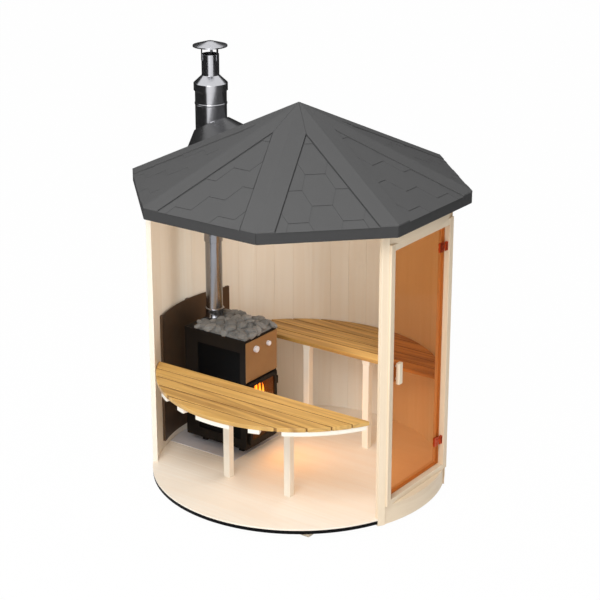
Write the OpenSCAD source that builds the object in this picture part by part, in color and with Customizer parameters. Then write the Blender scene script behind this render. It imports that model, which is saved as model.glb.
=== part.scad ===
// Round outdoor sauna with an octagonal roof, a glass door, two benches, a stove and a chimney.
// The door faces -Y, the stove stands at +Y and the ground is z = 0. All sizes are in mm.

/* [Base] */
// Height of the bearers under the floor
bearer_height = 60; // [50:5:90]
// Width of one bearer
bearer_width = 70; // [60:5:80]
// Thickness of the floor
floor_thickness = 28; // [24:1:40]
// Thickness of the floor's lip over the black band
lip_thickness = 11; // [8:1:14]
// Radial width of the black band around the floor, the part that sits in the wall's groove
band_width = 17; // [12:1:20]
// How far the wall runs on below the floor's underside
stave_drop = 23; // [10:1:26]

/* [Wall] */
// Outer radius of the round wall
wall_radius = 1000; // [980:5:1040]
// Thickness of the wall
wall_thickness = 32; // [28:1:40]

/* [Roof] */
// Overhang of the eaves past the wall, square to each side of the octagon
roof_overhang = 44; // [36:2:80]
// Rise of the roof from the eaves to the peak
roof_rise = 516; // [440:4:560]
// Thickness of the roof panels, plumb
panel_thickness = 40; // [32:2:48]
// Height of the fascia boards
fascia_height = 72; // [60:2:90]
// Thickness of the fascia boards
fascia_thickness = 22; // [16:1:28]
// Width of one wing of a hip cap
cap_width = 105; // [80:5:130]
// Thickness of the hip caps
cap_thickness = 9; // [6:1:12]

/* [Door] */
// Width of the glass leaf
leaf_width = 628; // [600:2:640]
// Height of the glass leaf
leaf_height = 1671; // [1600:1:1680]
// Thickness of the glass
glass_thickness = 8; // [6:1:10]
// Gap around the leaf
leaf_gap = 6.5; // [5.5:0.5:8]
// How far the glass stands back from the front of its frame
leaf_inset = 36; // [30:1:40]
// Width of the door frame's members
jamb_width = 45; // [40:1:60]
// Height of the wall above the door frame
lintel_height = 115; // [90:1:130]
// Height of the door handle
handle_height = 140; // [120:5:240]

/* [Benches] */
// Height of the seat above the floor
bench_height = 682; // [560:2:720]
// Free width between the two benches, as a share of the wall's radius
aisle_share = 0.87; // [0.84:0.01:0.92]
// Slats in one bench
slat_count = 5; // [4:1:6]
// Thickness of the slats
slat_thickness = 28; // [22:1:32]
// Gap between slats
slat_gap = 8; // [5:1:12]
// Size of the square legs
leg_size = 50; // [45:1:60]

/* [Stove] */
// Width of the stove
stove_width = 350; // [330:2:360]
// Depth of the stove's casing
stove_depth = 522; // [480:2:540]
// Height of the stove's casing
stove_height = 800; // [770:5:820]
// Height of the stove's feet
foot_height = 57; // [45:1:70]
// Height of the heap of stones above the casing
heap_height = 72; // [70:2:90]

/* [Chimney] */
// Outer diameter of the flue
flue_diameter = 115; // [108:1:120]
// Outer diameter of the insulated chimney
chimney_diameter = 211; // [200:1:220]
// Height of the insulated chimney above the eaves
chimney_rise = 506; // [460:2:560]
// Height of the upper pipe
stack_height = 140; // [110:5:180]

/* [Hidden] */
$fn = 96;

// hair gap between pieces that lie on each other
seat = 0.3;

// levels and radii
floor_z = bearer_height + floor_thickness;
wall_foot = bearer_height - stave_drop;
lip_foot = floor_z - lip_thickness;
inner_radius = wall_radius - wall_thickness;
band_outer = inner_radius - 2 + band_width;

// doorway: the frame's outer corners stand 24 mm proud of the round wall
post_width = 41.2;
pocket_half = leaf_width / 2 + leaf_gap;
stop_half = pocket_half - 21;
frame_half = pocket_half + jamb_width;
frame_front = -round(sqrt(pow(wall_radius, 2) - pow(frame_half, 2)) + 24);
frame_back = frame_front + 75;
leaf_front = frame_front + leaf_inset;
leaf_back = leaf_front + glass_thickness;
stop_front = leaf_back + 6;
frame_foot = floor_z + 80;
leaf_foot = frame_foot + 42;
leaf_top = leaf_foot + leaf_height;
pocket_foot = leaf_foot - leaf_gap;
pocket_top = leaf_top + leaf_gap;
frame_top = pocket_top + jamb_width;
hinge_x = pocket_half - 14.5;
hinge_y = leaf_front - 14;
hinge_levels = [leaf_foot + 174, leaf_top - 138];
clamp_x = hinge_x - 38;
handle_x = -leaf_width / 2 + 72;
handle_z = leaf_foot + 0.505 * leaf_height;
wall_top = frame_top + lintel_height;

// the round wall: eight bays from the door post to the open front
door_half = asin((frame_half + post_width) / wall_radius);
first_bay = -90 + door_half;
bay = (126 - first_bay) / 8;

// roof: an octagon with sides square to the axes
apothem = wall_radius + roof_overhang;
panel_edge = apothem - fascia_thickness;
pitch = atan(roof_rise / apothem);
// the underside of the panels clears the wall's outer top edge by 24 mm
eave_z = wall_top + 24 + panel_thickness - roof_overhang * tan(pitch);
peak_z = eave_z + roof_rise;

// benches
seat_z = floor_z + bench_height;
seat_under = seat_z - slat_thickness;
bench_radius = inner_radius - 6;
aisle_half = aisle_share * wall_radius / 2;
slat_width = (bench_radius - aisle_half - (slat_count - 1) * slat_gap) / slat_count;
rail_height = 30;
leg_y = 0.25 * wall_radius;

// stove
stove_half = stove_width / 2;
stove_back = 0.84 * wall_radius;
stove_front = stove_back - stove_depth;
plate_top = floor_z + 3;
stove_foot = plate_top + foot_height;
stove_top = stove_foot + stove_height;
panel_foot = stove_foot + 0.625 * stove_height;
fire_foot = stove_foot + 35;
fire_top = panel_foot - 8;
fire_half = stove_half - 22;
fire_front = stove_front - 22;
fire_hinge_x = fire_half + 10;
fire_hinge_y = fire_front + 4;
fire_levels = [fire_foot + 70, fire_top - 70];

// chimney
flue_y = 0.715 * wall_radius;
flue_r = flue_diameter / 2;
chim_r = chimney_diameter / 2;
roof_at_flue = eave_z + (apothem - flue_y) * tan(pitch);
chim_foot = roof_at_flue - panel_thickness - 110;
chim_top = eave_z + chimney_rise;
cone_top = chim_top + 100;
stack_top = cone_top + stack_height;

pale = [0.93, 0.84, 0.70];
honey = [0.76, 0.58, 0.30];
slate = [0.30, 0.30, 0.30];
black = [0.10, 0.09, 0.09];
steel = [0.78, 0.78, 0.80];
copper = [0.70, 0.26, 0.10];
bronze = [0.55, 0.36, 0.20];

// Base

module bearer(x, half_length) {
    translate([x - bearer_width / 2, -half_length, 0]) cube([bearer_width, 2 * half_length, bearer_height]);
}

module bearers() {
    side = 0.697 * wall_radius;
    color(pale) {
        bearer(-side, 0.6 * wall_radius);
        bearer(0, 0.8 * wall_radius);
        bearer(side, 0.6 * wall_radius);
    }
}

// floor with a lip that lies on the black band; the lip is cut back where the wall stands
module floor() {
    color(pale) difference() {
        translate([0, 0, bearer_height]) cylinder(h = floor_thickness, r = wall_radius, $fn = 180);
        translate([0, 0, bearer_height - 1]) rotate_extrude($fn = 180) translate([inner_radius - 4.5, 0])
            square([wall_thickness + 10, floor_thickness - lip_thickness + 1]);
        rotate([0, 0, 269.97 - door_half]) rotate_extrude(angle = 216.06 + door_half, $fn = 180)
            translate([band_outer, bearer_height]) square([wall_thickness, floor_thickness + 1]);
    }
}

// band in the wall's groove, and out under the lip in the open front
module base_band() {
    tall = floor_thickness - lip_thickness - seat;
    color(black) translate([0, 0, bearer_height]) {
        rotate_extrude($fn = 180) translate([inner_radius - 1, 0]) square([band_width - 2, tall]);
        rotate([0, 0, 126.2]) rotate_extrude(angle = 143.6 - door_half, $fn = 180)
            translate([inner_radius + 6, 0]) square([wall_thickness - 7.5, tall]);
    }
}

// Wall

// section of a stave: a plank with the groove that takes the floor's band
module stave_section(foot, top) {
    groove = band_outer + 1;
    polygon([[inner_radius, foot], [wall_radius, foot], [wall_radius, top], [inner_radius, top],
        [inner_radius, floor_z + 0.5], [groove, floor_z + 0.5], [groove, bearer_height],
        [inner_radius, bearer_height]]);
}

module wall_bay(index) {
    hair = asin(seat / wall_radius);
    color(pale) rotate([0, 0, first_bay + bay * index + hair / 2])
        rotate_extrude(angle = bay - hair, $fn = 180) stave_section(wall_foot, wall_top);
}

// plan of one eighth of the roof, short of the hips by a hair
module eighth(reach) {
    half = tan(22.5);
    polygon([[20, 20 * half - 0.6], [20, 0.6 - 20 * half], [reach, 0.6 - reach * half],
        [reach, reach * half - 0.6]]);
}

// a section in (distance from the axis, height), run along one side of the octagon
module along_side(width) {
    translate([0, width / 2, 0]) rotate([90, 0, 0]) linear_extrude(width) children();
}

function roof_line(r) = eave_z + (apothem - r) * tan(pitch);

// ring of eight timbers on the wall, bevelled to carry the roof panels
module wall_plate() {
    color(pale) for (k = [0:7]) rotate([0, 0, 45 * k]) intersection() {
        rotate([0, 0, -22.5 + 0.05]) rotate_extrude(angle = 44.9, $fn = 180)
            translate([inner_radius - 16, wall_top + seat]) square([wall_thickness + 16, roof_rise]);
        along_side(2 * apothem) polygon([[apothem / 2, wall_top], [apothem, wall_top],
            [apothem, roof_line(apothem) - panel_thickness - seat],
            [apothem / 2, roof_line(apothem / 2) - panel_thickness - seat]]);
    }
}

// Doorway

module door_post(side) {
    end = 90 - door_half;
    difference() {
        color(pale) translate([0, 0, wall_foot]) linear_extrude(wall_top - wall_foot)
            polygon([[side * wall_radius * cos(end), -wall_radius * sin(end)],
                [side * inner_radius * cos(end), -inner_radius * sin(end)],
                [side * frame_half, -inner_radius * sin(end)], [side * frame_half, frame_front + 14]]);
        translate([0, 0, bearer_height]) cylinder(h = floor_thickness + 0.5, r = band_outer + 1, $fn = 180);
    }
}

module door_post_left() {
    door_post(-1);
}

module door_post_right() {
    door_post(1);
}

// curved skirt under the door, a short run of the wall with the same groove
module door_skirt() {
    color(pale) intersection() {
        rotate([0, 0, -90 - door_half]) rotate_extrude(angle = 2 * door_half, $fn = 180)
            stave_section(wall_foot, frame_foot - 10);
        translate([-frame_half, -wall_radius - 1, 0]) cube([2 * frame_half, wall_radius, frame_foot]);
    }
}

// plan of the part of a disc that lies in front of the frame's back
module door_segment(radius) {
    intersection() {
        circle(r = radius, $fn = 180);
        translate([-frame_half, -radius - 1]) square([2 * frame_half, radius + 1 + frame_back]);
    }
}

module door_sill() {
    color(pale) {
        translate([0, 0, floor_z]) linear_extrude(80) door_segment(inner_radius - 0.3);
        translate([0, 0, frame_foot - 10]) linear_extrude(10) door_segment(wall_radius + 4);
    }
}

module door_lintel() {
    color(pale) translate([0, 0, frame_top]) linear_extrude(wall_top - frame_top)
        door_segment(wall_radius);
}

// jamb with the pocket for the leaf and the stop behind it
module jamb_section() {
    polygon([[pocket_half, frame_front], [frame_half, frame_front], [frame_half, frame_back],
        [stop_half, frame_back], [stop_half, stop_front], [pocket_half, stop_front]]);
}

module door_jambs() {
    color(pale) translate([0, 0, frame_foot]) linear_extrude(frame_top - frame_foot) {
        jamb_section();
        mirror([1, 0]) jamb_section();
    }
}

module frame_rail(foot, top, stop_foot, stop_top) {
    translate([-pocket_half, frame_front, foot])
        cube([2 * pocket_half, stop_front - frame_front, top - foot]);
    translate([-stop_half, stop_front, stop_foot])
        cube([2 * stop_half, frame_back - stop_front, stop_top - stop_foot]);
}

module door_rails() {
    color(pale) {
        frame_rail(frame_foot, pocket_foot, frame_foot, pocket_foot + 21);
        frame_rail(pocket_top, frame_top, pocket_top - 21, frame_top);
    }
}

// leaf of each hinge on the jamb's inner side, with two knuckles and a pin
module hinge_plates() {
    reveal = pocket_half - hinge_x - seat;
    color(copper) for (level = hinge_levels) translate([hinge_x, hinge_y, level]) {
        translate([reveal - 2.5, -10, -30]) cube([2.5, 17, 60]);
        for (z = [-30, 12]) translate([0, 0, z]) {
            cylinder(h = 18, r = 6.5, $fn = 48);
            translate([0, -4, 0]) cube([reveal - 1, 8, 18]);
        }
        translate([0, 0, -30]) cylinder(h = 60, r = 3, $fn = 48);
    }
}

// Sauna door

module door_glass() {
    color([0.69, 0.45, 0.25, 0.5]) difference() {
        translate([-leaf_width / 2, leaf_front, leaf_foot])
            cube([leaf_width, glass_thickness, leaf_height]);
        for (dz = [-0.31, 0.31]) translate([handle_x, leaf_front - 1, handle_z + dz * handle_height])
            rotate([-90, 0, 0]) cylinder(h = glass_thickness + 2, r = 4.3, $fn = 48);
        for (level = hinge_levels) for (dz = [-15, 15])
            translate([clamp_x, leaf_front - 1, level + dz])
                rotate([-90, 0, 0]) cylinder(h = glass_thickness + 2, r = 4.3, $fn = 48);
    }
}

// rounded grip block, its long edges eased
module grip() {
    linear_extrude(handle_height) hull() for (x = [-14, 14]) for (y = [-6, 6])
        translate([x, y]) circle(r = 8, $fn = 32);
}

// grip outside and a flat push plate inside
module door_handle() {
    color(pale) {
        translate([handle_x, leaf_front - 29, handle_z - handle_height / 2]) grip();
        translate([handle_x - 22, leaf_back + 2, handle_z - handle_height / 2]) cube([44, 14, handle_height]);
        for (dz = [-0.31, 0.31]) translate([handle_x, leaf_front, handle_z + dz * handle_height])
            rotate([-90, 0, 0]) {
                translate([0, 0, -16]) cylinder(h = 16, r = 7, $fn = 48);
                translate([0, 0, -1]) cylinder(h = glass_thickness + 4, r = 4, $fn = 48);
            }
    }
}

// clamp hinge: a block on the glass, an arm to the knuckle and two bolts with discs behind
module door_clamp() {
    difference() {
        union() {
            translate([clamp_x - 24, leaf_front - 13, -30]) cube([48, 13, 60]);
            translate([clamp_x + 16, hinge_y - 1, -11.5]) cube([hinge_x - clamp_x - 16, 6, 23]);
            translate([hinge_x, hinge_y, -11.5]) cylinder(h = 23, r = 6.5, $fn = 48);
        }
        translate([hinge_x, hinge_y, -12]) cylinder(h = 24, r = 3.4, $fn = 48);
    }
    for (dz = [-15, 15]) translate([clamp_x, leaf_front - 1, dz]) rotate([-90, 0, 0]) {
        cylinder(h = glass_thickness + 2, r = 4, $fn = 48);
        translate([0, 0, glass_thickness + 1]) cylinder(h = 5, r = 10, $fn = 48);
    }
}

module door_clamps() {
    color(copper) for (level = hinge_levels) translate([0, 0, level]) door_clamp();
}

// Roof

module roof_panels() {
    color(slate) difference() {
        for (k = [0:7]) rotate([0, 0, 45 * k]) intersection() {
            along_side(2 * apothem) polygon([[0, roof_line(0)], [panel_edge, roof_line(panel_edge)],
                [panel_edge, roof_line(panel_edge) - panel_thickness], [0, roof_line(0) - panel_thickness]]);
            linear_extrude(2 * peak_z) eighth(panel_edge);
        }
        translate([0, flue_y, 0]) cylinder(h = 2 * peak_z, r = chim_r + 8);
    }
}

module fascia() {
    inner = panel_edge;
    color(slate) for (k = [0:7]) rotate([0, 0, 45 * k]) intersection() {
        along_side(2 * apothem) polygon([[inner, eave_z - fascia_height], [apothem, eave_z - fascia_height],
            [apothem, eave_z], [inner, roof_line(inner)]]);
        linear_extrude(2 * peak_z) eighth(apothem);
    }
}

// hip cap: a strip folded along the hip, mitred where the caps meet near the peak
module hip_cap() {
    hip = atan(roof_rise * cos(22.5) / apothem);
    fold = atan(sin(pitch) * sin(22.5)
        / (sin(pitch) * cos(22.5) * sin(hip) + cos(pitch) * cos(hip)));
    wing = [cap_width * cos(fold), -cap_width * sin(fold)];
    skin = [cap_thickness * sin(fold), cap_thickness * cos(fold)];
    eave = apothem * [cos(22.5), sin(22.5)];
    intersection() {
        translate([0, 0, peak_z + seat]) rotate([0, hip, 0]) rotate([90, 0, 90]) linear_extrude(2 * apothem)
            polygon([[0, 0], wing, wing + skin, [0, cap_thickness / cos(fold)],
                [-wing[0] - skin[0], wing[1] + skin[1]], [-wing[0], wing[1]]]);
        linear_extrude(2 * peak_z) polygon([[2, 0], [eave[0], 0.6 - eave[1]],
            [apothem / cos(22.5), 0], [eave[0], eave[1] - 0.6]]);
    }
}

module hip_caps() {
    color(slate) for (k = [0:7]) rotate([0, 0, 22.5 + 45 * k]) hip_cap();
}

// Chimney

// boot around the chimney: a cone square to the slope on an apron between the hip caps
module flashing() {
    lift = 100;
    upslope = lift * tan(pitch);
    clear = cap_width / cos(atan(tan(22.5) * cos(pitch))) + 2;
    top = 0.67 * flue_y;
    bottom = 1.266 * flue_y;
    color(slate) difference() {
        union() {
            rotate([0, 0, 90]) intersection() {
                along_side(2 * apothem) polygon([[top, roof_line(top) + seat], [bottom, roof_line(bottom) + seat],
                    [bottom, roof_line(bottom) + 8], [top, roof_line(top) + 8]]);
                linear_extrude(2 * peak_z) polygon([[top, clear - top * tan(22.5)],
                    [bottom, clear - bottom * tan(22.5)], [bottom, bottom * tan(22.5) - clear],
                    [top, top * tan(22.5) - clear]]);
            }
            translate([0, flue_y, roof_at_flue + seat]) rotate([-pitch, 0, 0]) translate([0, -upslope, 0])
                cylinder(h = lift, r1 = 0.302 * flue_y, r2 = chim_r + 17);
        }
        translate([0, flue_y, 0]) cylinder(h = 2 * peak_z, r = chim_r + 0.5);
        for (a = [67.5, 112.5]) rotate([0, 0, a]) hip_cap();
    }
}

module chimney_pipe() {
    color(steel) translate([0, flue_y, 0]) rotate_extrude() polygon([[flue_r + 1, chim_foot],
        [chim_r, chim_foot], [chim_r, chim_top - 96], [chim_r + 3, chim_top - 93],
        [chim_r + 3, chim_top - 85], [chim_r, chim_top - 82], [chim_r, chim_top], [chim_r - 3, chim_top],
        [chim_r - 3, chim_foot + 4], [flue_r + 1, chim_foot + 4]]);
}

module chimney_cone() {
    color(steel) translate([0, flue_y, 0]) rotate_extrude() polygon([[chim_r - 3, chim_top],
        [chim_r + 8, chim_top], [chim_r + 8, chim_top + 48], [flue_r + 1, cone_top],
        [flue_r + 1, stack_top], [flue_r - 2, stack_top], [flue_r - 2, cone_top - 2],
        [chim_r + 5, chim_top + 46], [chim_r + 5, chim_top + 3], [chim_r - 3, chim_top + 3]]);
}

module rain_cap() {
    color(steel) translate([0, flue_y, 0]) {
        rotate_extrude() polygon([[0, stack_top + 58], [chim_r + 9, stack_top + 50],
            [chim_r + 9, stack_top + 58], [24, stack_top + 84], [0, stack_top + 88]]);
        for (k = [0:2]) rotate([0, 0, 30 + 120 * k]) translate([flue_r + 1, -9, stack_top - 40])
            cube([3, 18, 94]);
    }
}

module flue_pipe() {
    base = stove_top;
    collar = base + 0.52 * (chim_foot - base);
    color(steel) translate([0, flue_y, 0]) {
        rotate_extrude() polygon([[flue_r - 3, base], [flue_r + 8, base], [flue_r + 8, base + 22],
            [flue_r + 3, base + 26], [flue_r + 3, base + 44], [flue_r + 6, base + 48],
            [flue_r + 6, base + 56], [flue_r + 3, base + 60], [flue_r + 3, base + 104],
            [flue_r + 6, base + 108], [flue_r + 6, base + 116], [flue_r, base + 120],
            [flue_r, collar - 4], [flue_r + 7, collar], [flue_r + 7, collar + 56], [flue_r, collar + 60],
            [flue_r, chim_top - 60], [flue_r - 3, chim_top - 60]]);
        // damper spindle with its knob
        translate([flue_r, 0, base + 80]) rotate([0, 90, 0]) {
            cylinder(h = 34, r = 3, $fn = 48);
            translate([0, 0, 26]) cylinder(h = 18, r = 9, $fn = 48);
        }
    }
}

// Stove

module floor_plate() {
    color(steel) translate([0, 0, floor_z]) linear_extrude(3) intersection() {
        translate([-stove_half - 80, stove_front + 44]) square([stove_width + 160, wall_radius]);
        circle(r = inner_radius - 5, $fn = 180);
    }
}

// curved sheet held off the wall by three bent ribs
module heat_shield() {
    foot = floor_z + 55;
    tall = stove_top + 125 - foot;
    color(black) translate([0, 0, foot]) {
        rotate([0, 0, 67]) rotate_extrude(angle = 46, $fn = 180) translate([inner_radius - 18, 0])
            square([3, tall]);
        for (a = [67, 89.25, 111.5]) rotate([0, 0, a]) rotate_extrude(angle = 1.5, $fn = 180)
            translate([inner_radius - 17, 0]) square([17, tall]);
    }
}

module stove_feet() {
    color(black) for (x = [-stove_half + 70, stove_half - 110]) for (y = [stove_front + 80, stove_back - 120])
        translate([x, y, plate_top]) cube([40, 40, foot_height]);
}

// casing: two cheeks with a sunk field, and a bottom, a back and a lid between them around the firebox
module stove_body() {
    inner = fire_half - 14;
    seam = 0.3;
    between = 2 * (inner - seam);
    color(black) {
        for (x = [-stove_half, inner]) difference() {
            translate([x, stove_front, stove_foot]) cube([stove_half - inner, stove_depth, stove_height]);
            translate([x < 0 ? x - 1 : stove_half - 5, stove_front + 48, stove_foot + 70])
                cube([6, 0.7 * stove_depth, stove_height - 160]);
        }
        translate([seam - inner, stove_front, stove_foot])
            cube([between, stove_depth, fire_foot + 14 - stove_foot]);
        translate([seam - inner, stove_back - 25, fire_foot + 14 + seam])
            cube([between, 25, fire_top - fire_foot - 28 - 2 * seam]);
        difference() {
            translate([seam - inner, stove_front, fire_top - 14])
                cube([between, stove_depth, stove_top - fire_top + 14]);
            translate([0, flue_y, fire_foot]) cylinder(h = stove_height, r = flue_r - 8);
            translate([12 - inner, stove_front + 18, stove_top - 100])
                cube([2 * inner - 24, flue_y - flue_r - 40 - stove_front, 101]);
        }
        // hinge lugs with their pins
        for (level = fire_levels) translate([fire_hinge_x, fire_hinge_y, level - 27]) {
            for (z = [0, 40]) translate([0, 0, z]) {
                cylinder(h = 14, r = 5, $fn = 48);
                translate([-5, 0, 0]) cube([10, stove_front - fire_hinge_y + 0.5, 14]);
            }
            cylinder(h = 54, r = 2.5, $fn = 48);
        }
    }
}

module stove_panel() {
    color(bronze) {
        translate([-stove_half, stove_front - 6, panel_foot])
            cube([stove_width, 6, stove_top - panel_foot - 12]);
        for (k = [[-70, 22], [70, 17]]) translate([k[0], stove_front - 5, stove_top - 80])
            rotate([90, 0, 0]) cylinder(h = 19, r = k[1], $fn = 48);
    }
}

// the heap of stones as one mound, round the flue
module stones() {
    inner = fire_half - 14;
    bed = flue_y - flue_r - 44 - stove_front;
    spread = 0.84 * stove_depth;
    crown = stove_top + heap_height;
    color([0.42, 0.41, 0.39]) {
        translate([13 - inner, stove_front + 19, stove_top - 100 + seat]) cube([2 * inner - 26, bed, 102]);
        difference() {
            hull() {
                translate([10 - stove_half, stove_front + 10, stove_top + seat])
                    cube([stove_width - 20, spread, 18]);
                translate([-0.36 * stove_half, stove_front + 0.34 * spread, crown - 32]) sphere(r = 30, $fn = 12);
                translate([0.28 * stove_half, stove_front + 0.38 * spread, crown - 30]) sphere(r = 30, $fn = 12);
                translate([0, stove_front + 0.62 * spread, crown - 38]) sphere(r = 30, $fn = 12);
            }
            translate([0, flue_y, stove_top - 1]) cylinder(h = 300, r = flue_r + 12);
        }
    }
}

module stove_door() {
    width = 2 * fire_half;
    tall = fire_top - fire_foot;
    color(black) {
        difference() {
            translate([-fire_half, fire_front, fire_foot]) cube([width, 16, tall]);
            translate([-fire_half + 28, fire_front - 1, fire_foot + 28]) cube([width - 56, 18, tall - 56]);
            translate([-fire_half + 18, fire_front + 8, fire_foot + 18]) cube([width - 36, 9, tall - 36]);
        }
        // knuckles between the lugs
        for (level = fire_levels) translate([0, 0, level - 12.5]) difference() {
            union() {
                translate([fire_hinge_x, fire_hinge_y, 0]) cylinder(h = 25, r = 5, $fn = 48);
                translate([fire_half - 2, fire_front, 0]) cube([fire_hinge_x - fire_half + 2, 8, 25]);
            }
            translate([fire_hinge_x, fire_hinge_y, -1]) cylinder(h = 27, r = 2.9, $fn = 48);
        }
        // bar handle on two studs
        translate([-fire_half + 14, fire_front - 26, fire_foot + tall / 2 - 60]) cylinder(h = 120, r = 8, $fn = 48);
        for (dz = [-40, 40]) translate([-fire_half + 14, fire_front + 1, fire_foot + tall / 2 + dz])
            rotate([90, 0, 0]) cylinder(h = 27, r = 5, $fn = 48);
    }
}

module stove_door_glass() {
    width = 2 * fire_half;
    tall = fire_top - fire_foot;
    color([0.9, 0.45, 0.12, 0.6]) translate([-fire_half + 18.5, fire_front + 8, fire_foot + 18.5])
        cube([width - 37, 5, tall - 37]);
}

// Benches, drawn on the left and mirrored to the right

module bench_slats() {
    color(honey) intersection() {
        translate([0, 0, seat_under]) cylinder(h = slat_thickness, r = bench_radius, $fn = 180);
        for (k = [0:slat_count - 1])
            translate([-aisle_half - slat_width - k * (slat_width + slat_gap), -wall_radius, seat_under - 1])
                cube([slat_width, 2 * wall_radius, slat_thickness + 2]);
    }
}

// curved cleat under the rim of the seat
module cleat(from, to) {
    rotate([0, 0, from]) rotate_extrude(angle = to - from, $fn = 180)
        translate([bench_radius - 46, seat_under - rail_height]) square([42, rail_height]);
}

module bench_rails() {
    reach = sqrt(pow(bench_radius - 52, 2) - pow(leg_y + 30, 2));
    color(pale) {
        for (y = [-leg_y, leg_y]) translate([-reach, y - 30, seat_under - rail_height])
            cube([reach - aisle_half - 3, 60, rail_height]);
        cleat(145, 151);
        cleat(160.5, 164.7);
        cleat(172, 188.2);
        cleat(196, 200.6);
        cleat(209, 242);
    }
}

module bench_legs() {
    color(pale) for (y = [-leg_y, leg_y])
        translate([-aisle_half - leg_size - 2, y - leg_size / 2, floor_z])
            cube([leg_size, leg_size, seat_under - rail_height - floor_z]);
}

module left_bench_slats() {
    bench_slats();
}

module left_bench_rails() {
    bench_rails();
}

module left_bench_legs() {
    bench_legs();
}

module right_bench_slats() {
    mirror([1, 0, 0]) bench_slats();
}

module right_bench_rails() {
    mirror([1, 0, 0]) bench_rails();
}

module right_bench_legs() {
    mirror([1, 0, 0]) bench_legs();
}

bearers();
floor();
base_band();
wall_bay(0);  // wall_bay_1
wall_bay(1);  // wall_bay_2
wall_bay(2);  // wall_bay_3
wall_bay(3);  // wall_bay_4
wall_bay(4);  // wall_bay_5
wall_bay(5);  // wall_bay_6
wall_bay(6);  // wall_bay_7
wall_bay(7);  // wall_bay_8
wall_plate();
door_post_left();
door_post_right();
door_skirt();
door_sill();
door_lintel();
door_jambs();
door_rails();
hinge_plates();
door_glass();
door_handle();
door_clamps();
roof_panels();
fascia();
hip_caps();
flashing();
chimney_pipe();
chimney_cone();
rain_cap();
flue_pipe();
floor_plate();
heat_shield();
stove_feet();
stove_body();
stove_panel();
stones();
stove_door();
stove_door_glass();
left_bench_slats();
left_bench_rails();
left_bench_legs();
right_bench_slats();
right_bench_rails();
right_bench_legs();
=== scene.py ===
# %% [markdown]
# # A round outdoor sauna
# The real thing is a stave-built round cabin under an octagonal shingle roof, with a glass door, two
# benches and a wood stove. Part of its wall is left out at the front, so that the inside shows.
# The construction model is loaded first and stays fixed. Everything after this dresses it: boards,
# shingles, stones, screws, finishes, light and a camera.

# %% Load the construction model
import math
import random

import bmesh
import bpy
from mathutils import Matrix, Vector


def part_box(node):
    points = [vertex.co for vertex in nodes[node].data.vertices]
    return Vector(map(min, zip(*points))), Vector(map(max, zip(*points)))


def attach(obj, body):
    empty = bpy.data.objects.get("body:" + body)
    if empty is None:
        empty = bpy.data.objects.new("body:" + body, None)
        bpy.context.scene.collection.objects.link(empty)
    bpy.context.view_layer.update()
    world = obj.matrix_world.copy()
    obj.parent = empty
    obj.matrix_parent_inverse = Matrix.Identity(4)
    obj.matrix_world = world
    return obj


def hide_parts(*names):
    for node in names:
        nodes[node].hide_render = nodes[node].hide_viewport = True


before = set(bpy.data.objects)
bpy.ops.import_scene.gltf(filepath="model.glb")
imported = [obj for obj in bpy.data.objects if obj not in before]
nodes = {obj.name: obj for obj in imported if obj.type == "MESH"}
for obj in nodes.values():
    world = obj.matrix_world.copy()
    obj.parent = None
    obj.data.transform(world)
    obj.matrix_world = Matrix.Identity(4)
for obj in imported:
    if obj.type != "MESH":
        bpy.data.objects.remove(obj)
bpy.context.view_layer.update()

# %% [markdown]
# ## A pen for node trees
# Shaders and geometry trees are both graphs of nodes. Writing them node by node hides the sums in
# them, so one small class wraps a socket and takes part in ordinary arithmetic: `1 - mask` adds a
# Math node. Its `node` method makes every other kind: the settings first, then the sockets.


# %% Socket class
class Wire:
    """A socket of a node tree; a Wire with no socket only makes nodes."""

    def __init__(self, tree, socket=None):
        self.tree = tree
        self.socket = socket

    def node(self, kind, settings=None, sockets=None, out=0):
        made = self.tree.nodes.new(kind)
        for key, value in (settings or {}).items():
            if key == "stops":
                self.set_stops(made.color_ramp, value)
            else:
                setattr(made, key, value)
        for key, value in (sockets or {}).items():
            self.feed(made.inputs[key], value)
        return Wire(self.tree, made.outputs[out] if len(made.outputs) else None)

    def feed(self, socket, value):
        if isinstance(value, Wire):
            self.tree.links.new(value.socket, socket)
        else:
            socket.default_value = value

    def set_stops(self, ramp, stops):
        while len(ramp.elements) < len(stops):
            ramp.elements.new(0.5)
        for element, (place, colour) in zip(ramp.elements, stops):
            element.position = place
            element.color = colour

    def math(self, operation, first, second=0.0):
        return self.node("ShaderNodeMath", {"operation": operation}, {0: first, 1: second})

    def vector(self, operation, first, second):
        return self.node("ShaderNodeVectorMath", {"operation": operation}, {0: first, 1: second})

    def mix(self, first, second, factor):
        """Two colours mixed: a Mix node has its colours on sockets 6 and 7, and its result on 2."""
        settings = {"data_type": "RGBA", "clamp_factor": True}
        return self.node("ShaderNodeMix", settings, {0: factor, 6: first, 7: second}, 2)

    def __add__(self, other):
        return self.math("ADD", self, other)

    def __sub__(self, other):
        return self.math("SUBTRACT", self, other)

    def __rsub__(self, other):
        return self.math("SUBTRACT", other, self)

    def __mul__(self, other):
        return self.math("MULTIPLY", self, other)

    __radd__ = __add__
    __rmul__ = __mul__


print("pen ready")

# %% [markdown]
# ## Finishes
# A finish is one Principled shader. What is the same all over is set on the shader's own socket, and
# only colour, roughness and the bump vary. Colours are written as they look on a screen and are
# turned into linear light here.


# %% Colour and finish helpers
def paint(red, green, blue):
    """A screen colour, 0 to 255, as linear light."""
    def linear(value):
        value /= 255
        return value / 12.92 if value <= 0.04045 else ((value + 0.055) / 1.055) ** 2.4
    return (linear(red), linear(green), linear(blue), 1.0)


def finish(name, **constants):
    """A material with one Principled shader: returns it with a pen and the shader's sockets."""
    material = bpy.data.materials.new(name)
    material.use_nodes = True
    tree = material.node_tree
    sockets = tree.nodes["Principled BSDF"].inputs
    for key, value in constants.items():
        sockets[key.replace("_", " ")].default_value = value
    return material, Wire(tree), sockets


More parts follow.
